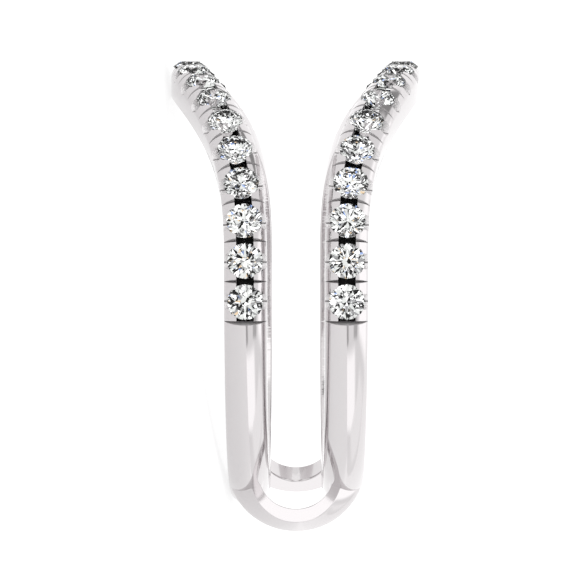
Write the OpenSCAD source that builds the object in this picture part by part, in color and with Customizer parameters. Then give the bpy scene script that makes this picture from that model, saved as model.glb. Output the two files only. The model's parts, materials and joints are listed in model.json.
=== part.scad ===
// Ring guard enhancer: two stone-set bands that part at the crest to frame a
// centre ring, joined at the bottom by two bowed bridges. It lies on its side,
// resting on the crest and the bottom of the lower band.

/* [Ring] */
// Radius of the finger hole
bore_r = 8.65; // [8.5:0.05:8.8]
// Radius over the crown of the bands
crown_r = 10.3; // [10.2:0.05:10.4]
// Extra radius of the finger hole behind the stones
crest_ease = 0.02; // [0.01:0.01:0.04]

/* [Bands] */
// Distance from the middle plane to a band's centre line at the shank
band_x = 2.12; // [2.1:0.02:2.2]
// Width of a band at the shank
band_w = 1.81; // [1.75:0.02:1.9]
// Height of the domed face over the side walls
dome_h = 0.6; // [0.55:0.05:0.65]
// Outward flare of each band at the crest
flare = 2.79; // [2.2:0.05:3]
// Power of the sine that the flare follows round the ring
flare_power = 3.62; // [3:0.1:4]
// Extra width of a band half way up its flare
flare_swell = 0.31; // [0:0.05:0.4]
// Width that a band loses at the crest
crest_thin = 0.09; // [0:0.03:0.12]

/* [Stones] */
// Stones set in each band, half on either side of the crest
stones_per_band = 20; // [16:2:20]
// Diameter of a stone at its girdle
stone_d = 1.5; // [1.4:0.05:1.55]
// Distance from stone to stone along the crown
stone_pitch = 1.755; // [1.72:0.005:1.8]
// Height of a stone's table over the crown
table_proud = 0.03; // [0:0.01:0.06]
// Gap between a stone and its seat
seat_gap = 0.03; // [0.02:0.01:0.04]

/* [Setting] */
// Radius of the hole behind each stone
azure_r = 0.35; // [0.3:0.05:0.4]
// Width across the band of the slot between two stones
slot_w = 0.73; // [0.65:0.02:0.8]
// Depth of the slot under the crown
slot_depth = 0.8; // [0.6:0.05:0.9]
// Width at the crown of the groove that splits each pair of prongs
groove_w = 0.18; // [0.14:0.02:0.24]
// Radius of the scallop beside each stone
scallop_r = 0.33; // [0.25:0.02:0.33]
// Depth of the scallop in a side wall
scallop_depth = 0.1; // [0.05:0.01:0.14]

/* [Bridges] */
// Radius of the cradle under a bridge
cradle_r = 1.65; // [1.6:0.05:1.75]
// Distance from the finger axis to the middle of the cradle
cradle_c = 9.6; // [9.5:0.05:9.7]
// Thickness of a bridge at its middle
bridge_t = 0.68; // [0.6:0.02:0.8]
// Angle from the bottom of the ring to the near end face of a bridge
bridge_from = 26; // [22:1:28]
// Angle from the bottom of the ring to the far end face of a bridge
bridge_to = 32; // [31:1:36]

/* [Hidden] */
sides = [-1, 1];
side_names = ["left", "right"];
stone_count = [for (i = [1:stones_per_band]) i];

function two_digits(i) = str(i < 10 ? "0" : "", i);
function stone_name(side, i) = str("stone_", side_names[(side + 1) / 2], "_", two_digits(i));

// Band line, by the angle from the front of the shank up and over the crest
full_turn = 360;
half_turn = full_turn / 2;
crest_a = full_turn / 4;
rise_power = 8;
radian = half_turn / PI;
function above(a) = max(0, sin(a));
function line_x(a) = band_x + flare * pow(above(a), flare_power);
function line_slope(a) =
    flare * flare_power * pow(above(a), flare_power - 1) * cos(a) / crown_r;
function width_at(a) =
    band_w
    + flare_swell * pow(sin(2 * a) * above(a), 2)
    - crest_thin * pow(above(a), rise_power);
function half_at(a) = width_at(a) / 2 * sqrt(1 + pow(line_slope(a), 2));

// Band section in a plane through the finger axis, as [x, radius]
ring_step = 4;
dome_steps = 10;
bore_cut = 0.3;
function dome_r(half) = (half * half + dome_h * dome_h) / (2 * dome_h);
function section(half) =
    let (r = dome_r(half), sweep = asin(half / r))
    concat(
        [[-half, bore_r - bore_cut]],
        [for (i = [0:dome_steps])
            let (t = sweep * (2 * i / dome_steps - 1))
            [r * sin(t), crown_r - r * (1 - cos(t))]],
        [[half, bore_r - bore_cut]]
    );
function band_point(side, a, p) =
    [side * line_x(a) + p.x, -p.y * cos(a), p.y * sin(a)];

// Arc length from the crest, so that the stones are evenly spaced
table_last = 110;
function step_length(a) =
    sqrt(pow(crown_r / radian, 2) + pow(line_x(a) - line_x(a - 1), 2));
path_table = [
    for (i = 0, s = 0; i <= table_last; s = s + step_length(crest_a - i), i = i + 1)
    [s, crest_a - i]
];
function path_angle(s) =
    let (a = lookup(abs(s), path_table))
    s >= 0 ? a : half_turn - a;
function stone_s(i) = ((stones_per_band + 1) / 2 - i) * stone_pitch;

// Brilliant cut, in parts of the girdle's diameter
cut_table = 0.57;
cut_star = 0.76;
cut_crown = 0.15;
cut_girdle = 0.03;
cut_pavilion = 0.445;
cut_lower = 0.24;
cut_sides = 8;
cut_turn = full_turn / cut_sides;
girdle_r = stone_d / 2;
girdle_h = cut_girdle * stone_d / 2;
crown_h = cut_crown * stone_d;
pavilion_h = cut_pavilion * stone_d;
girdle_level = crown_r + table_proud - crown_h - girdle_h;

function round_point(r, a, z) = [r * cos(a), r * sin(a), z];
// Heights on the planes of the crown's kites and the pavilion's kites
function crown_z(r) =
    girdle_h + crown_h * (girdle_r - r * cos(cut_turn / 2)) / (girdle_r * (1 - cut_table));
function pavilion_z(r) =
    -girdle_h - pavilion_h * (1 - r * cos(cut_turn / 2) / girdle_r);

// Seat of one stone, as [radius, height over the girdle's middle]
seat_r = girdle_r + seat_gap;
seat_top = 0.6;
seat_bottom = -(girdle_level - bore_r) - bore_cut;
cone_z = -girdle_h - seat_gap - pavilion_h * (1 - azure_r / seat_r);
seat_profile = [
    [0, seat_bottom],
    [azure_r, seat_bottom],
    [azure_r, cone_z],
    [seat_r, -girdle_h - seat_gap],
    [seat_r, seat_top],
    [0, seat_top]
];

// Groove, scallop, slot and finger hole
wall_r = crown_r - dome_h;
cutter_l = 4;
groove_over = 0.3;
groove_slope = groove_w / 2 / dome_h;
scallop_level = wall_r - scallop_depth + scallop_r;
slot_reach = stone_pitch / 3;
hole_l = 12;
ease_low = -1.2;
seat_sides = 48;
scallop_sides = 32;
hole_sides = 180;

// Bridge section, as [radius, x]
bridge_inset = 0.06;
bridge_top = cradle_c + cradle_r + bridge_t;
bridge_x = band_x + band_w / 2 - bridge_inset;
bridge_sag = bridge_top - wall_r;
bridge_r = (bridge_x * bridge_x + bridge_sag * bridge_sag) / (2 * bridge_sag);
bridge_sweep = asin(bridge_x / bridge_r);
bridge_steps = 24;
bridge_sides = 96;
bridge_section = concat(
    [for (i = [0:bridge_steps])
        let (t = bridge_sweep * (2 * i / bridge_steps - 1))
        [bridge_top - bridge_r * (1 - cos(t)), bridge_r * sin(t)]],
    [[cradle_c, bridge_x]],
    [for (i = [0:bridge_steps])
        let (t = half_turn * (0.5 - i / bridge_steps))
        [cradle_c + cradle_r * cos(t), cradle_r * sin(t)]],
    [[cradle_c, -bridge_x]]
);

// The pose in which the ring rests: on the inner edge of the lower band's
// crest, and on the shoulder of the same band at the bottom
crest_out = line_x(crest_a) + half_at(crest_a);
shank_out = band_x + band_w / 2;
rest_tilt = atan((crest_out - shank_out) / (bore_r + wall_r));
rest_h = shank_out * cos(rest_tilt) + wall_r * sin(rest_tilt);
function lying_x(p) = p.x * sin(rest_tilt) - p.z * cos(rest_tilt);
crest_reach = min([for (p = section(half_at(crest_a)))
    lying_x(band_point(-1, crest_a, p))]);
bridge_reach = max([for (p = bridge_section)
    lying_x([p.y, 0, -p.x * cos(bridge_from)])]);
rest_x = -(crest_reach + bridge_reach) / 2;

module lay_down() {
    translate([rest_x, 0, rest_h])
        rotate([0, rest_tilt - 90, 0])
            children();
}

// Frame on a band: X across it, Y along it, Z outward from the finger axis
module on_band(side, s, level) {
    a = path_angle(s);
    n = [0, -cos(a), sin(a)];
    run = [side * line_slope(a), sin(a), cos(a)];
    t = run / norm(run);
    b = cross(t, n);
    o = [side * line_x(a), 0, 0] + level * n;
    multmatrix([
        [b.x, t.x, n.x, o.x],
        [b.y, t.y, n.y, o.y],
        [b.z, t.z, n.z, o.z],
        [0, 0, 0, 1]
    ])
        children();
}

module band(side) {
    rings = full_turn / ring_step;
    angles = [for (j = [0:rings - 1]) j * ring_step - crest_a];
    outline = [for (a = angles) section(half_at(a))];
    m = len(outline[0]);
    points = [for (j = [0:rings - 1]) for (p = outline[j]) band_point(side, angles[j], p)];
    function id(j, i) = (j % rings) * m + i % m;
    polyhedron(
        points,
        [for (j = [0:rings - 1]) for (i = [0:m - 1])
            each [
                [id(j, i), id(j + 1, i), id(j + 1, i + 1)],
                [id(j, i), id(j + 1, i + 1), id(j, i + 1)]
            ]],
        convexity = 6
    );
}

module bridge(from) {
    rotate([0, 90, 0])
        rotate([0, 0, from])
            rotate_extrude(angle = bridge_to - bridge_from, $fn = bridge_sides)
                polygon(bridge_section);
}

module stone_seat() {
    rotate_extrude($fn = seat_sides)
        polygon(seat_profile);
}

module scallop() {
    rotate([0, 90, 0])
        cylinder(h = cutter_l, r = scallop_r, center = true, $fn = scallop_sides);
}

// Groove across the band, with its bottom edge on the plane z = 0
module prong_groove() {
    top = dome_h + groove_over;
    rotate([90, 0, 90])
        linear_extrude(cutter_l, center = true)
            polygon([[0, 0], [top * groove_slope, top], [-top * groove_slope, top]]);
}

// Slot along the band, from -back to ahead, with its floor on the plane z = 0
module prong_slot(back, ahead) {
    translate([-slot_w / 2, -back, 0])
        cube([slot_w, back + ahead, slot_depth + groove_over]);
}

module setting_cuts(side) {
    for (i = stone_count) {
        on_band(side, stone_s(i), girdle_level) stone_seat();
        on_band(side, stone_s(i), scallop_level) scallop();
    }
    for (i = [0:stones_per_band]) {
        s = stone_s(i + 0.5);
        on_band(side, s, wall_r) prong_groove();
        on_band(side, s, crown_r - slot_depth)
            prong_slot(i == 0 ? 0 : slot_reach, i == stones_per_band ? 0 : slot_reach);
    }
}

// Finger hole, eased over the crest down to just past the last stones
module finger_hole() {
    module hole(r) {
        rotate([0, 90, 0])
            cylinder(h = hole_l, r = r, center = true, $fn = hole_sides);
    }
    hole(bore_r);
    intersection() {
        hole(bore_r + crest_ease);
        translate([-hole_l / 2, -crown_r, ease_low])
            cube([hole_l, 2 * crown_r, crown_r - ease_low]);
    }
}

module ring_mount() {
    color("gainsboro")
        lay_down()
            difference() {
                union() {
                    for (side = sides) band(side);
                    bridge(bridge_from);
                    bridge(-bridge_to);
                }
                finger_hole();
                for (side = sides) setting_cuts(side);
            }
}

// Round brilliant with its table up and the middle of its girdle at z = 0
module brilliant() {
    table_r = cut_table * girdle_r;
    star_r = cut_star * girdle_r;
    lower_r = cut_lower * girdle_r;
    eight = [0:cut_sides - 1];
    sixteen = [0:2 * cut_sides - 1];
    table = 0;
    star = cut_sides;
    top = 2 * cut_sides;
    bottom = 4 * cut_sides;
    lower = 6 * cut_sides;
    culet = 7 * cut_sides;
    function next(i) = (i + 1) % cut_sides;
    function rim(i) = i % (2 * cut_sides);
    points = concat(
        [for (i = eight) round_point(table_r, i * cut_turn, girdle_h + crown_h)],
        [for (i = eight) round_point(star_r, (i + 0.5) * cut_turn, crown_z(star_r))],
        [for (i = sixteen) round_point(girdle_r, i * cut_turn / 2, girdle_h)],
        [for (i = sixteen) round_point(girdle_r, i * cut_turn / 2, -girdle_h)],
        [for (i = eight) round_point(lower_r, (i + 0.5) * cut_turn, pavilion_z(lower_r))],
        [[0, 0, -girdle_h - pavilion_h]]
    );
    polyhedron(
        points,
        concat(
            [[for (i = eight) table + cut_sides - 1 - i]],
            [for (i = eight) [table + i, table + next(i), star + i]],
            [for (i = eight)
                [table + next(i), star + next(i), top + rim(2 * i + 2), star + i]],
            [for (i = eight) [star + i, top + rim(2 * i + 1), top + 2 * i]],
            [for (i = eight) [star + i, top + rim(2 * i + 2), top + rim(2 * i + 1)]],
            [for (i = sixteen)
                [top + i, top + rim(i + 1), bottom + rim(i + 1), bottom + i]],
            [for (i = eight) [bottom + 2 * i, bottom + rim(2 * i + 1), lower + i]],
            [for (i = eight) [bottom + rim(2 * i + 1), bottom + rim(2 * i + 2), lower + i]],
            [for (i = eight)
                [bottom + rim(2 * i + 2), lower + next(i), culet, lower + i]]
        )
    );
}

module stone(side, i) {
    color("aliceblue")
        lay_down()
            on_band(side, stone_s(i), girdle_level)
                brilliant();
}

ring_mount();
for (side = sides)
    for (i = stone_count)
        stone(side, i);
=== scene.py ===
import json
import math

import bmesh
import bpy
from mathutils import Matrix, Vector


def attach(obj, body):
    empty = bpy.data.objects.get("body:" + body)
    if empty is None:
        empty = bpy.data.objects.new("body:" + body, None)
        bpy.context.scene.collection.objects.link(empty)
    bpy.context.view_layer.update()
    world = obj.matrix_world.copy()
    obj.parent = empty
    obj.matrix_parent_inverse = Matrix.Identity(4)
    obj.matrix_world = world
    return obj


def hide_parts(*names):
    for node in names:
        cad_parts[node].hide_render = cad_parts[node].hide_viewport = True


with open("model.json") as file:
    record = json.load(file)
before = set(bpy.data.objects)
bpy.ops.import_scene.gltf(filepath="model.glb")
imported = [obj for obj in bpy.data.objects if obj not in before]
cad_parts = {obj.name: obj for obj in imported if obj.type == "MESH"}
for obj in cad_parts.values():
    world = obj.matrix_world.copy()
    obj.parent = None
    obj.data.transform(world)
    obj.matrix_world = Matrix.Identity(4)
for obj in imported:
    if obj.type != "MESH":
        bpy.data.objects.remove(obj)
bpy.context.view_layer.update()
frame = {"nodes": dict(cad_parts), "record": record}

print("frame loaded")

# The ring is worked out upright, in millimetres: X along the finger, Y away from the
# camera, Z up to the crest. Angles run from the camera's side up over the crest.
ring = {
    "crownRadius": 10.3,
    "bandCentre": 2.12,
    "bandWidth": 1.81,
    "domeHeight": 0.6,
    "flare": 2.79,
    "flarePower": 3.62,
    "flareSwell": 0.31,
    "crestThin": 0.09,
    "crestPower": 8,
    "pathStep": 0.1,  # degrees
    "stonesPerBand": 20,
    "stonePitch": 1.755,
    "stoneRadius": 0.75,
    "tableOverCrown": 0.03,
    "crownHeight": 0.225,
    "crownRun": 0.43,  # table's rim to girdle, as a share of the stone's radius
    "halfGirdle": 0.0225,
    "pavilionHeight": 0.6675,
}
bore = next(m for m in frame["record"]["mounts"] if m["name"] == "finger_bore")
boreRadius = bore["dims"]["r_mm"]
wallRadius = ring["crownRadius"] - ring["domeHeight"]
girdleLevel = ring["crownRadius"] + ring["tableOverCrown"] - ring["crownHeight"] - ring["halfGirdle"]
millimetre = 0.001
fullTurn = 2 * math.pi


def lyingPlace():
    across = Vector(bore["axis"]).normalized()
    away = Vector((0, 1, 0))
    turn = Matrix((across, away, across.cross(away))).transposed().to_4x4()
    return Matrix.Translation(bore["pos_m"]) @ turn


lying = lyingPlace()
lyingFromMm = lying @ Matrix.Scale(millimetre, 4)


# Path of a band round the ring
def above(a):
    return max(0.0, math.sin(a))


def lineX(a):
    return ring["bandCentre"] + ring["flare"] * above(a) ** ring["flarePower"]


def lineSlope(a):
    power = ring["flarePower"]
    return ring["flare"] * power * above(a) ** (power - 1) * math.cos(a) / ring["crownRadius"]


def halfAt(a):
    swell = ring["flareSwell"] * (math.sin(2 * a) * above(a)) ** 2
    thin = ring["crestThin"] * above(a) ** ring["crestPower"]
    return (ring["bandWidth"] + swell - thin) / 2 * math.hypot(1, lineSlope(a))


def angleAt(s):
    # s is the way along the crown from the crest, and positive is the near side
    step = math.radians(ring["pathStep"])
    a, left = math.pi / 2, abs(s)
    while left > 0:
        length = math.hypot(ring["crownRadius"] * step, lineX(a) - lineX(a - step))
        share = min(1.0, left / length)
        a -= step * share
        left -= length
    return a if s >= 0 else math.pi - a


def bandFrame(side, s, level):
    a = angleAt(s)
    out = Vector((0, -math.cos(a), math.sin(a)))
    along = Vector((side * lineSlope(a), math.sin(a), math.cos(a))).normalized()
    place = Matrix((along.cross(out), along, out)).transposed().to_4x4()
    place.translation = Vector((side * lineX(a), 0, 0)) + level * out
    return place


def stoneS(i):
    return ((ring["stonesPerBand"] + 1) / 2 - i) * ring["stonePitch"]


# Small tools for meshes
def wireLoop(bm, points):
    verts = [bm.verts.new(p) for p in points]
    edges = [bm.edges.new(pair) for pair in zip(verts, verts[1:] + verts[:1])]
    return verts + edges


def roundEdges(bm, edges, offset, segments):
    bmesh.ops.bevel(
        bm, geom=edges, offset=offset, offset_type="OFFSET", segments=segments,
        profile=0.5, affect="EDGES", clamp_overlap=True, material=-1,
    )


def meshAsIs(bm, name):
    mesh = bpy.data.meshes.new(name)
    bm.to_mesh(mesh)
    bm.free()
    return mesh


def meshFrom(bm, name):
    bmesh.ops.recalc_face_normals(bm, faces=bm.faces)
    return meshAsIs(bm, name)


def newObject(name, mesh):
    obj = bpy.data.objects.new(name, mesh)
    bpy.context.scene.collection.objects.link(obj)
    return obj


def combine(target, tool, operation):
    # target's mesh becomes its union or difference with tool, which is then deleted
    step = target.modifiers.new(operation, "BOOLEAN")
    step.operation = operation
    step.solver = "MANIFOLD"
    step.material_mode = "TRANSFER"
    step.object = tool
    bpy.context.view_layer.update()
    shaped = target.evaluated_get(bpy.context.evaluated_depsgraph_get())
    mesh = bpy.data.meshes.new_from_object(shaped)
    target.modifiers.clear()
    target.data = mesh
    bpy.data.objects.remove(tool)


# Bands
band = {
    "ringSteps": 360,
    "domeSteps": 28,
    "innerRounding": 0.13,
    "innerSegments": 4,
    "shoulderRounding": 0.2,
    "shoulderSegments": 3,
}


def bandProfile():
    half = ring["bandWidth"] / 2
    height = ring["domeHeight"]
    radius = (half ** 2 + height ** 2) / (2 * height)
    sweep = math.asin(half / radius)
    points = [(-half, boreRadius)]
    for i in range(band["domeSteps"] + 1):
        t = sweep * (2 * i / band["domeSteps"] - 1)
        points.append((radius * math.sin(t), ring["crownRadius"] - radius * (1 - math.cos(t))))
    return points + [(half, boreRadius)]


def radiusOf(v):
    return math.hypot(v.co.y, v.co.z)


def cornerEdges(bm, radius):
    half = ring["bandWidth"] / 2
    near = 1e-4
    return [
        e for e in bm.edges
        if all(abs(abs(v.co.x) - half) < near and abs(radiusOf(v) - radius) < near for v in e.verts)
    ]


def makeBand(side):
    bm = bmesh.new()
    start = wireLoop(bm, [(x, -r, 0) for x, r in bandProfile()])
    bmesh.ops.spin(
        bm, geom=start, cent=(0, 0, 0), axis=(1, 0, 0), dvec=(0, 0, 0),
        angle=fullTurn, steps=band["ringSteps"], use_merge=True, use_duplicate=False,
    )
    roundEdges(bm, cornerEdges(bm, boreRadius), band["innerRounding"], band["innerSegments"])
    roundEdges(bm, cornerEdges(bm, wallRadius), band["shoulderRounding"], band["shoulderSegments"])
    for v in bm.verts:
        a = math.atan2(v.co.z, -v.co.y)
        v.co.x = side * lineX(a) + v.co.x * halfAt(a) / (ring["bandWidth"] / 2)
    return newObject("band", meshFrom(bm, "band"))


# Bridges
bridge = {
    "cradleRadius": 1.65,
    "cradleCentre": 9.6,
    "thickness": 0.68,
    "fromAngle": 26,
    "toAngle": 32,
    "foot": 0.06,
    "faceReach": 2.05,
    "arcSteps": 48,
    "spinSteps": 12,
    "innerRounding": 0.2,
    "innerSegments": 6,
    "outerRounding": 0.06,
    "outerSegments": 3,
}
outerX = ring["bandCentre"] + ring["bandWidth"] / 2 - bridge["foot"]
bridgeTop = bridge["cradleCentre"] + bridge["cradleRadius"] + bridge["thickness"]
bridgeDrop = bridgeTop - wallRadius
bridgeRadius = (outerX ** 2 + bridgeDrop ** 2) / (2 * bridgeDrop)


def bridgeOutline():
    sweep = math.asin(outerX / bridgeRadius)
    steps = bridge["arcSteps"]
    outer = []
    for i in range(steps + 1):
        t = sweep * (2 * i / steps - 1)
        outer.append((bridgeRadius * math.sin(t), bridgeTop - bridgeRadius * (1 - math.cos(t))))
    inner = []
    for i in range(steps + 1):
        t = math.pi * (0.5 - i / steps)
        inner.append((
            bridge["cradleRadius"] * math.sin(t),
            bridge["cradleCentre"] + bridge["cradleRadius"] * math.cos(t),
        ))
    return outer + [(outerX, bridge["cradleCentre"])] + inner + [(-outerX, bridge["cradleCentre"])]


def arcEdges(bm, centre, radius):
    # Rims of the two end faces that follow the arc of this radius about the given level
    near = 1e-3
    ends = [f for f in bm.faces if len(f.verts) > 4]
    return [
        e for face in ends for e in face.edges
        if all(abs(math.hypot(v.co.x, radiusOf(v) - centre) - radius) < near for v in e.verts)
    ]


def drawInFace(bm):
    # The face at the greater angle is a narrower arch, so that the bands' domes run on into
    # the bridge beside it. Reach is measured from the middle of the cradle.
    level = bridge["cradleCentre"]
    low = bridgeTop - bridgeRadius - level
    span = bridge["toAngle"] - bridge["fromAngle"]
    for v in bm.verts:
        across, out = v.co.x, radiusOf(v) - level
        reach = math.hypot(across, out)
        sine, cosine = abs(across) / reach, out / reach
        full = low * cosine + math.sqrt(bridgeRadius ** 2 - (low * sine) ** 2)
        if sine > 0:
            full = min(full, outerX / sine)
        drawn = 1 / math.hypot(sine / bridge["faceReach"], cosine / (bridgeTop - level))
        angle = math.degrees(math.atan2(abs(v.co.y), -v.co.z))
        ease = math.sin(min(1, max(0, (bridge["toAngle"] - angle) / span)) * math.pi / 2)
        share = (reach - bridge["cradleRadius"]) / (full - bridge["cradleRadius"])
        moved = bridge["cradleRadius"] + share * (drawn + (full - drawn) * ease - bridge["cradleRadius"])
        radius = level + out * moved / reach
        v.co.x *= moved / reach
        v.co.y, v.co.z = v.co.y * radius / (out + level), v.co.z * radius / (out + level)


def makeBridge(fromAngle):
    # The angle is from the bottom of the ring, and positive is away from the camera
    bm = bmesh.new()
    tilt = Matrix.Rotation(math.radians(fromAngle), 4, "X")
    face = bm.faces.new([bm.verts.new(tilt @ Vector((x, 0, -r))) for x, r in bridgeOutline()])
    bmesh.ops.spin(
        bm, geom=[face] + face.verts[:] + face.edges[:], cent=(0, 0, 0), axis=(1, 0, 0),
        dvec=(0, 0, 0), angle=math.radians(bridge["toAngle"] - bridge["fromAngle"]),
        steps=bridge["spinSteps"], use_merge=False, use_duplicate=False,
    )
    inner = arcEdges(bm, bridge["cradleCentre"], bridge["cradleRadius"])
    roundEdges(bm, inner, bridge["innerRounding"], bridge["innerSegments"])
    outer = arcEdges(bm, bridgeTop - bridgeRadius, bridgeRadius)
    roundEdges(bm, outer, bridge["outerRounding"], bridge["outerSegments"])
    drawInFace(bm)
    return newObject("bridge", meshFrom(bm, "bridge"))


# Setting: seats, slots, grooves, scallops and fine lines, each a tool that cuts the metal
setting = {
    "seatGap": 0.01,
    "seatSteps": 64,
    "grip": 0.03,
    "azureRadius": 0.35,
    "slotWidth": 0.73,
    "slotDepth": 0.8,
    "grooveWidth": 0.18,
    "scallopRadius": 0.33,
    "scallopDepth": 0.1,
    "scallopSteps": 40,
    "lineWidth": 0.07,
    "lineDepth": 0.07,
    "toolLength": 4,
    "over": 0.5,
    "mergeDistance": 1e-5,
}


def seatTool():
    seatRadius = ring["stoneRadius"] + setting["seatGap"]
    gripRadius = ring["stoneRadius"] - setting["grip"]
    halfGirdle = ring["halfGirdle"]
    crownSlope = ring["crownHeight"] / (ring["stoneRadius"] * ring["crownRun"])
    floor = -(girdleLevel - boreRadius) - setting["over"]
    cone = -halfGirdle - ring["pavilionHeight"] * (1 - setting["azureRadius"] / seatRadius)
    profile = [
        (0, floor),
        (setting["azureRadius"], floor),
        (setting["azureRadius"], cone),
        (seatRadius, -halfGirdle - setting["seatGap"]),
        (seatRadius, halfGirdle),
        (gripRadius, halfGirdle + (seatRadius - gripRadius) * crownSlope),
        (gripRadius, setting["over"]),
        (0, setting["over"]),
    ]
    bm = bmesh.new()
    verts = [bm.verts.new((r, 0, z)) for r, z in profile]
    edges = [bm.edges.new(pair) for pair in zip(verts, verts[1:])]
    bmesh.ops.spin(
        bm, geom=verts + edges, cent=(0, 0, 0), axis=(0, 0, 1), dvec=(0, 0, 0),
        angle=fullTurn, steps=setting["seatSteps"], use_merge=True, use_duplicate=False,
    )
    bmesh.ops.remove_doubles(bm, verts=bm.verts, dist=setting["mergeDistance"])
    return meshFrom(bm, "seatTool")


def slotTool(back, ahead):
    bm = bmesh.new()
    bmesh.ops.create_cube(bm, size=1)
    size = (setting["slotWidth"], back + ahead, setting["slotDepth"] + setting["over"])
    bmesh.ops.scale(bm, vec=size, verts=bm.verts)
    bmesh.ops.translate(bm, vec=(0, (ahead - back) / 2, size[2] / 2), verts=bm.verts)
    return meshFrom(bm, "slotTool")


def grooveTool(width, depth, top):
    # A V whose bottom edge lies on z = 0, and which is this wide at this depth above it
    reach = width / 2 / depth * top
    half = setting["toolLength"] / 2
    bm = bmesh.new()
    corners = ((-half, 0, 0), (-half, reach, top), (-half, -reach, top))
    face = bm.faces.new([bm.verts.new(p) for p in corners])
    pushed = bmesh.ops.extrude_face_region(bm, geom=[face])
    moved = [g for g in pushed["geom"] if isinstance(g, bmesh.types.BMVert)]
    bmesh.ops.translate(bm, vec=(2 * half, 0, 0), verts=moved)
    return meshFrom(bm, "grooveTool")


def scallopTool():
    bm = bmesh.new()
    radius = setting["scallopRadius"]
    bmesh.ops.create_cone(
        bm, cap_ends=True, segments=setting["scallopSteps"], radius1=radius, radius2=radius,
        depth=setting["toolLength"],
    )
    bmesh.ops.rotate(bm, cent=(0, 0, 0), matrix=Matrix.Rotation(math.pi / 2, 3, "Y"), verts=bm.verts)
    return meshFrom(bm, "scallopTool")


def repeatTool(name, material, places):
    # places holds (mesh, place) pairs, and the placed meshes must not touch each other
    bm = bmesh.new()
    for mesh, place in places:
        part = mesh.copy()
        part.transform(place)
        bm.from_mesh(part)
        bpy.data.meshes.remove(part)
    joined = meshAsIs(bm, name)
    joined.materials.append(material)
    return newObject(name, joined)


def stonePlaces(level):
    for side in (-1, 1):
        for i in range(1, ring["stonesPerBand"] + 1):
            yield bandFrame(side, stoneS(i), level)


def gapPlaces(level):
    for side in (-1, 1):
        for i in range(ring["stonesPerBand"] + 1):
            yield i, bandFrame(side, stoneS(i + 0.5), level)


def slotFor(i):
    # A third of the pitch each way from the gap's middle, and at a row's ends only towards its stones
    reach = ring["stonePitch"] / 3
    back = 0 if i == 0 else reach
    ahead = 0 if i == ring["stonesPerBand"] else reach
    return slotTool(back, ahead)


def cutSetting(metal, satin, dull, dark):
    seat, scallop = seatTool(), scallopTool()
    groove = grooveTool(setting["grooveWidth"], ring["domeHeight"], ring["domeHeight"] + setting["over"])
    line = grooveTool(setting["lineWidth"], setting["lineDepth"], 2 * setting["lineDepth"])
    slotLevel = ring["crownRadius"] - setting["slotDepth"]
    scallopFloor = wallRadius - setting["scallopDepth"]
    scallopLevel = scallopFloor + setting["scallopRadius"]
    lineLevel = scallopFloor - setting["lineDepth"]
    tools = (
        repeatTool("grooves", dull, [(groove, place) for _, place in gapPlaces(wallRadius)]),
        repeatTool("scallops", satin, [(scallop, place) for place in stonePlaces(scallopLevel)]),
        repeatTool("lines", dull, [(line, place) for place in stonePlaces(lineLevel)]),
        repeatTool("seats", satin, [(seat, place) for place in stonePlaces(girdleLevel)]),
        # dark is the near-black painted shade on the slots' faces
        repeatTool("slots", dark, [(slotFor(i), place) for i, place in gapPlaces(slotLevel)]),
    )
    for tool in tools:
        combine(metal, tool, "DIFFERENCE")


sharpAngle = 28  # degrees between two faces of the metal, past which their edge is sharp


def makeMetal(bright, satin, dull, dark):
    metal = makeBand(-1)
    metal.data.materials.append(bright)
    combine(metal, makeBand(1), "UNION")
    combine(metal, makeBridge(bridge["fromAngle"]), "UNION")
    combine(metal, makeBridge(-bridge["toAngle"]), "UNION")
    print("bands and bridges joined")
    cutSetting(metal, satin, dull, dark)
    metal.name = "ringMetal"
    metal.data.transform(lyingFromMm)
    metal.data.shade_smooth()
    metal.data.set_sharp_from_angle(angle=math.radians(sharpAngle))
    # Flat faces stay flat up to their rounded edges
    normals = metal.modifiers.new("flatFaces", "WEIGHTED_NORMAL")
    normals.keep_sharp = True
    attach(metal, "root")
    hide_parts("ring_mount")
    print("setting cut,", len(metal.data.polygons), "faces")


# Materials
whiteMetal = {
    # name: (colour, metallic, roughness at its lowest and highest)
    "polishedWhiteMetal": ((0.64, 0.617, 0.624, 1), 1, 0.06, 0.11),
    "satinMetal": ((0.86, 0.84, 0.845, 1), 0.4, 0.35, 0.45),
    "grooveMetal": ((0.55, 0.535, 0.54, 1), 0.3, 0.45, 0.6),
    # Near black for the slots' faces: painted shade, standing in for the little light that gets into
    # them
    "slotPaintedShade": ((0.004, 0.004, 0.004, 1), 0.5, 0.6, 0.7),
}
polishGrain = {"scale": 900, "detail": 3}


def nodeMaterial(name):
    material = bpy.data.materials.new(name)
    material.use_nodes = True
    nodes = material.node_tree.nodes
    return material, nodes, material.node_tree.links, nodes["Principled BSDF"]


def makeWhiteMetal(name):
    colour, metallic, smoothest, roughest = whiteMetal[name]
    material, nodes, links, shader = nodeMaterial(name)
    shader.inputs["Base Color"].default_value = colour
    shader.inputs["Metallic"].default_value = metallic
    place = nodes.new("ShaderNodeTexCoord")
    grain = nodes.new("ShaderNodeTexNoise")
    grain.inputs["Scale"].default_value = polishGrain["scale"]
    grain.inputs["Detail"].default_value = polishGrain["detail"]
    links.new(place.outputs["Object"], grain.inputs["Vector"])
    polish = nodes.new("ShaderNodeMapRange")
    polish.inputs["To Min"].default_value = smoothest
    polish.inputs["To Max"].default_value = roughest
    links.new(grain.outputs["Fac"], polish.inputs["Value"])
    links.new(polish.outputs["Result"], shader.inputs["Roughness"])
    return material


clearStone = {
    "colour": (1, 1, 1, 1),
    "specularTint": (0.15, 0.15, 0.15, 1),  # dims the outer shine, which would hide dark facets
    "ior": 2.42,
}


def makeClearStone():
    material, *_, shader = nodeMaterial("clearStone")
    shader.inputs["Base Color"].default_value = clearStone["colour"]
    shader.inputs["Roughness"].default_value = 0
    shader.inputs["IOR"].default_value = clearStone["ior"]
    shader.inputs["Specular Tint"].default_value = clearStone["specularTint"]
    shader.inputs["Transmission Weight"].default_value = 1
    return material


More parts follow.
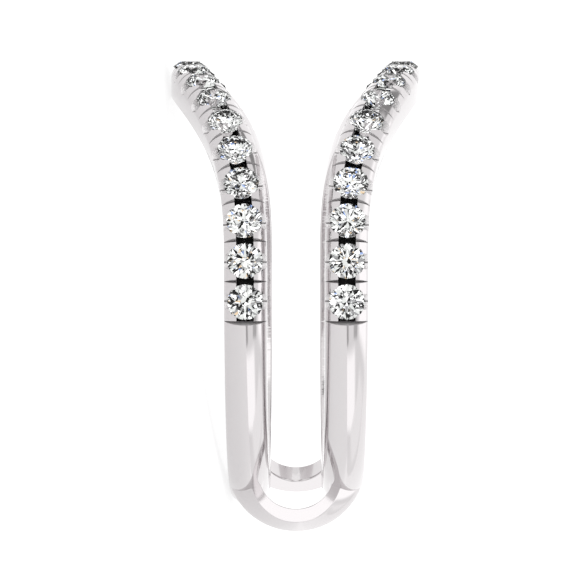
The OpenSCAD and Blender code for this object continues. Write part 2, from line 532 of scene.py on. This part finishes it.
def dressStones(material):
    for name, obj in frame["nodes"].items():
        if name.startswith("stone_"):
            obj.data.materials.clear()
            obj.data.materials.append(material)
            obj.data.shade_flat()


# Camera, floor and light
view = {
    "distance": 92.76,
    "height": 5.85,
    "pitch": 4.18,
    "focalPixels": 1989,
    "frame": 576,
    "middleColumn": 296,
    "middleRow": 303.4,
    "sensor": 36,
    "clipStart": 0.001,
    "clipEnd": 10,
}


def makeCamera():
    data = bpy.data.cameras.new("camera")
    data.sensor_width = view["sensor"]
    data.lens = view["focalPixels"] / view["frame"] * view["sensor"]
    data.shift_x = (view["frame"] / 2 - view["middleColumn"]) / view["frame"]
    data.shift_y = (view["middleRow"] - view["frame"] / 2) / view["frame"]
    data.clip_start = view["clipStart"]
    data.clip_end = view["clipEnd"]
    camera = newObject("camera", data)
    pitch = math.radians(view["pitch"])
    right = Vector((1, 0, 0))
    up = Vector((0, math.sin(pitch), math.cos(pitch)))
    back = right.cross(up)
    place = Matrix((right, up, back)).transposed().to_4x4()
    place.translation = Vector((0, -view["distance"], view["height"])) * millimetre
    camera.matrix_world = lying @ place
    bpy.context.scene.camera = camera


studio = {
    "floorSize": 4.0,
    "backdropAt": 0.6,
    "curve": 0.3,
    "curveSteps": 24,
    "floorColour": (0.3, 0.3, 0.3, 1),
    "floorGlow": 0.76,
    "glowBehind": 0.92,
    "glowReach": 0.02,
    "worldColour": (1, 1, 1, 1),
    "nearLight": 1.04,
    "farLight": 1.08,
    "fadeFrom": -0.1,
    "fadeTo": 0.25,
}


def floorMaterial():
    # Glows by itself, and ever more from the ring's middle to a little way behind it
    material, nodes, links, shader = nodeMaterial("paleFloor")
    shader.inputs["Base Color"].default_value = studio["floorColour"]
    shader.inputs["Roughness"].default_value = 1
    shader.inputs["Specular IOR Level"].default_value = 0
    shader.inputs["Emission Color"].default_value = (1, 1, 1, 1)
    place = nodes.new("ShaderNodeTexCoord")
    split = nodes.new("ShaderNodeSeparateXYZ")
    links.new(place.outputs["Object"], split.inputs["Vector"])
    glow = nodes.new("ShaderNodeMapRange")
    glow.inputs["From Min"].default_value = 0
    glow.inputs["From Max"].default_value = studio["glowReach"]
    glow.inputs["To Min"].default_value = studio["floorGlow"]
    glow.inputs["To Max"].default_value = studio["glowBehind"]
    links.new(split.outputs["Y"], glow.inputs["Value"])
    links.new(glow.outputs["Result"], shader.inputs["Emission Strength"])
    return material


def makeFloor():
    bm = bmesh.new()
    half = studio["floorSize"] / 2
    wide = [bm.verts.new((x, -half, 0)) for x in (-half, half)]
    edge = bm.edges.new(wide)
    pushed = bmesh.ops.extrude_edge_only(bm, edges=[edge])
    verts = [g for g in pushed["geom"] if isinstance(g, bmesh.types.BMVert)]
    edges = [g for g in pushed["geom"] if isinstance(g, bmesh.types.BMEdge)]
    bmesh.ops.translate(bm, vec=(0, half + studio["backdropAt"], 0), verts=verts)
    rim = [e for e in edges if all(v in verts for v in e.verts)]
    turned = bmesh.ops.spin(
        bm, geom=verts + rim, cent=(0, studio["backdropAt"], studio["curve"]), axis=(1, 0, 0),
        dvec=(0, 0, 0), angle=math.pi / 2, steps=studio["curveSteps"], use_merge=False,
        use_duplicate=False,
    )
    lastEdges = [g for g in turned["geom_last"] if isinstance(g, bmesh.types.BMEdge)]
    raised = bmesh.ops.extrude_edge_only(bm, edges=lastEdges)
    verts = [g for g in raised["geom"] if isinstance(g, bmesh.types.BMVert)]
    bmesh.ops.translate(bm, vec=(0, 0, half), verts=verts)
    floor = newObject("floor", meshFrom(bm, "floor"))
    floor.data.shade_smooth()
    floor.data.materials.append(floorMaterial())


# Where a card hangs: degrees up from the camera's direction over the ring, then degrees
# towards the crest, as seen from the ring, with the angles that it spans each way
cardLook = {"distance": 0.2, "softness": 0.2, "colour": (1, 1, 1, 1)}
cards = {
    # name: (up, towards the crest, span up, span towards the crest, brightness)
    "lowFront": (16, -54, 54, 52, 1.5),
    "highLow": (88, -58, 36, 52, 1.22),
    "highSide": (88, -8, 60, 46, 1.55),
    "crestward": (10, 54, 38, 38, 1.55),
    "smearCamera": (0, 8, 34, 50, 0.9),
    "smearNear": (-3, -19, 24, 20, 0.5),
    "smearFar": (43, -20, 22, 16, 0.6),
    "darkAbove": (108, 42, 22, 34, 0.35),
    "darkCrest": (-10, 76, 14, 16, 0.4),
    "domeWedge": (20, 8, 22, 50, 1.75),
}
# A small card close to the far bridge, for its end face
bridgeCard = {
    "from": (0.0098, 0.0052, 0.0028),
    "up": -15,
    "crestward": -60,
    "distance": 0.005,
    "size": (0.008, 0.005),
    "brightness": 1.42,
}
# Patches that only the light through the stones meets, for the facets' contrast and fire.
# Each cell of a pattern takes the first line whose share it falls under.
patches = {
    # name: (share, colour)
    "black": (0.21, (0, 0, 0, 1)),
    "grey": (0.34, (0.2, 0.2, 0.205, 1)),
    "pale": (0.72, (0.46, 0.47, 0.46, 1)),
    "bright": (0.98, (0.9, 0.9, 0.9, 1)),
    "blue": (0.992, (0.2, 0.28, 0.5, 1)),
    "amber": (1, (0.5, 0.38, 0.25, 1)),
}
patchStrength = 1.9
patchDome = {"radius": 0.19, "subdivisions": 4, "cellsPerMetre": 34}
patchFloor = {"size": 0.2, "level": 0.00002, "cellsPerMetre": 420}


def cardPlace(centre, up, crestward, distance):
    up, crestward = math.radians(up), math.radians(crestward)
    away = Vector((0, -math.cos(up), math.sin(up))) * math.cos(crestward)
    away += Vector((-1, 0, 0)) * math.sin(crestward)
    side = away.cross(Vector((-1, 0, 0))).normalized()
    turn = Matrix((side, away.cross(side), away)).transposed().to_4x4()
    return Matrix.Translation(Vector(centre) + away * distance) @ turn


def spanSize(degrees):
    return 2 * cardLook["distance"] * math.tan(math.radians(degrees / 2))


def glowMaterial(name, strength):
    material, nodes, links, shader = nodeMaterial(name)
    shader.inputs["Base Color"].default_value = (0, 0, 0, 1)
    shader.inputs["Specular IOR Level"].default_value = 0
    shader.inputs["Emission Strength"].default_value = strength
    return material, nodes, links, shader


def cardMaterial(name, brightness):
    # Fades out towards the card's edges, by its own UV map
    material, nodes, links, shader = glowMaterial(name, brightness)
    shader.inputs["Emission Color"].default_value = cardLook["colour"]
    place = nodes.new("ShaderNodeUVMap")
    split = nodes.new("ShaderNodeSeparateXYZ")
    links.new(place.outputs["UV"], split.inputs["Vector"])
    cover = nodes.new("ShaderNodeMath")
    cover.operation = "MULTIPLY"
    for i, way in enumerate("XY"):
        centred = nodes.new("ShaderNodeMath")
        centred.operation = "SUBTRACT"
        centred.inputs[1].default_value = 0.5
        links.new(split.outputs[way], centred.inputs[0])
        offset = nodes.new("ShaderNodeMath")
        offset.operation = "ABSOLUTE"
        links.new(centred.outputs["Value"], offset.inputs[0])
        fade = nodes.new("ShaderNodeMapRange")
        fade.interpolation_type = "SMOOTHSTEP"
        fade.inputs["From Min"].default_value = 0.5
        fade.inputs["From Max"].default_value = 0.5 - cardLook["softness"]
        links.new(offset.outputs["Value"], fade.inputs["Value"])
        links.new(fade.outputs["Result"], cover.inputs[i])
    links.new(cover.outputs["Value"], shader.inputs["Alpha"])
    return material


def makeCard(name, place, width, height, brightness):
    bm = bmesh.new()
    bm.loops.layers.uv.new("UVMap")
    bmesh.ops.create_grid(bm, x_segments=1, y_segments=1, size=0.5, calc_uvs=True)
    bmesh.ops.scale(bm, vec=(width, height, 1), verts=bm.verts)
    bmesh.ops.transform(bm, matrix=place, verts=bm.verts)
    mesh = meshAsIs(bm, name)
    mesh.materials.append(cardMaterial(name, brightness))
    card = newObject(name, mesh)
    card.visible_camera = False
    card.visible_shadow = False


def makeCards():
    for name, (up, crestward, spanUp, spanCrest, brightness) in cards.items():
        place = cardPlace(bore["pos_m"], up, crestward, cardLook["distance"])
        makeCard(name, place, spanSize(spanUp), spanSize(spanCrest), brightness)
    near = bridgeCard
    place = cardPlace(near["from"], near["up"], near["crestward"], near["distance"])
    makeCard("bridgeCard", place, *near["size"], near["brightness"])


def patchMaterial(name, cellsPerMetre):
    material, nodes, links, shader = glowMaterial(name, patchStrength)
    place = nodes.new("ShaderNodeTexCoord")
    cells = nodes.new("ShaderNodeTexVoronoi")
    cells.inputs["Scale"].default_value = cellsPerMetre
    links.new(place.outputs["Object"], cells.inputs["Vector"])
    split = nodes.new("ShaderNodeSeparateColor")
    links.new(cells.outputs["Color"], split.inputs["Color"])
    pick = nodes.new("ShaderNodeValToRGB")
    pick.color_ramp.interpolation = "CONSTANT"
    start = 0
    for i, (share, colour) in enumerate(patches.values()):
        stops = pick.color_ramp.elements
        stop = stops[i] if i < len(stops) else stops.new(start)
        stop.position = start
        stop.color = colour
        start = share
    links.new(split.outputs["Red"], pick.inputs["Fac"])
    links.new(pick.outputs["Color"], shader.inputs["Emission Color"])
    return material


def makePatches():
    dome = bmesh.new()
    subdivisions, radius = patchDome["subdivisions"], patchDome["radius"]
    bmesh.ops.create_icosphere(dome, subdivisions=subdivisions, radius=radius)
    bmesh.ops.translate(dome, vec=bore["pos_m"], verts=dome.verts)
    floor = bmesh.new()
    bmesh.ops.create_grid(floor, x_segments=1, y_segments=1, size=patchFloor["size"] / 2)
    bmesh.ops.translate(floor, vec=(0, 0, patchFloor["level"]), verts=floor.verts)
    for name, bm, settings in (("patchDome", dome, patchDome), ("patchFloor", floor, patchFloor)):
        mesh = meshAsIs(bm, name)
        mesh.materials.append(patchMaterial(name, settings["cellsPerMetre"]))
        patch = newObject(name, mesh)
        patch.visible_camera = False
        patch.visible_shadow = False
        patch.visible_diffuse = False
        patch.visible_glossy = False


def makeWorld():
    # A little brighter behind the ring than on the camera's side
    world = bpy.data.worlds.new("studioLight")
    bpy.context.scene.world = world
    world.use_nodes = True
    nodes, links = world.node_tree.nodes, world.node_tree.links
    place = nodes.new("ShaderNodeTexCoord")
    split = nodes.new("ShaderNodeSeparateXYZ")
    links.new(place.outputs["Generated"], split.inputs["Vector"])
    fade = nodes.new("ShaderNodeMapRange")
    fade.inputs["From Min"].default_value = studio["fadeFrom"]
    fade.inputs["From Max"].default_value = studio["fadeTo"]
    fade.inputs["To Min"].default_value = studio["nearLight"]
    fade.inputs["To Max"].default_value = studio["farLight"]
    links.new(split.outputs["Y"], fade.inputs["Value"])
    links.new(fade.outputs["Result"], nodes["Background"].inputs["Strength"])
    nodes["Background"].inputs["Color"].default_value = studio["worldColour"]


makeCamera()
makeFloor()
makeCards()
makePatches()
makeWorld()
bpy.context.scene.view_settings.view_transform = "Standard"
print("studio ready")

makeMetal(*[makeWhiteMetal(name) for name in whiteMetal])
dressStones(makeClearStone())
print("stones dressed")
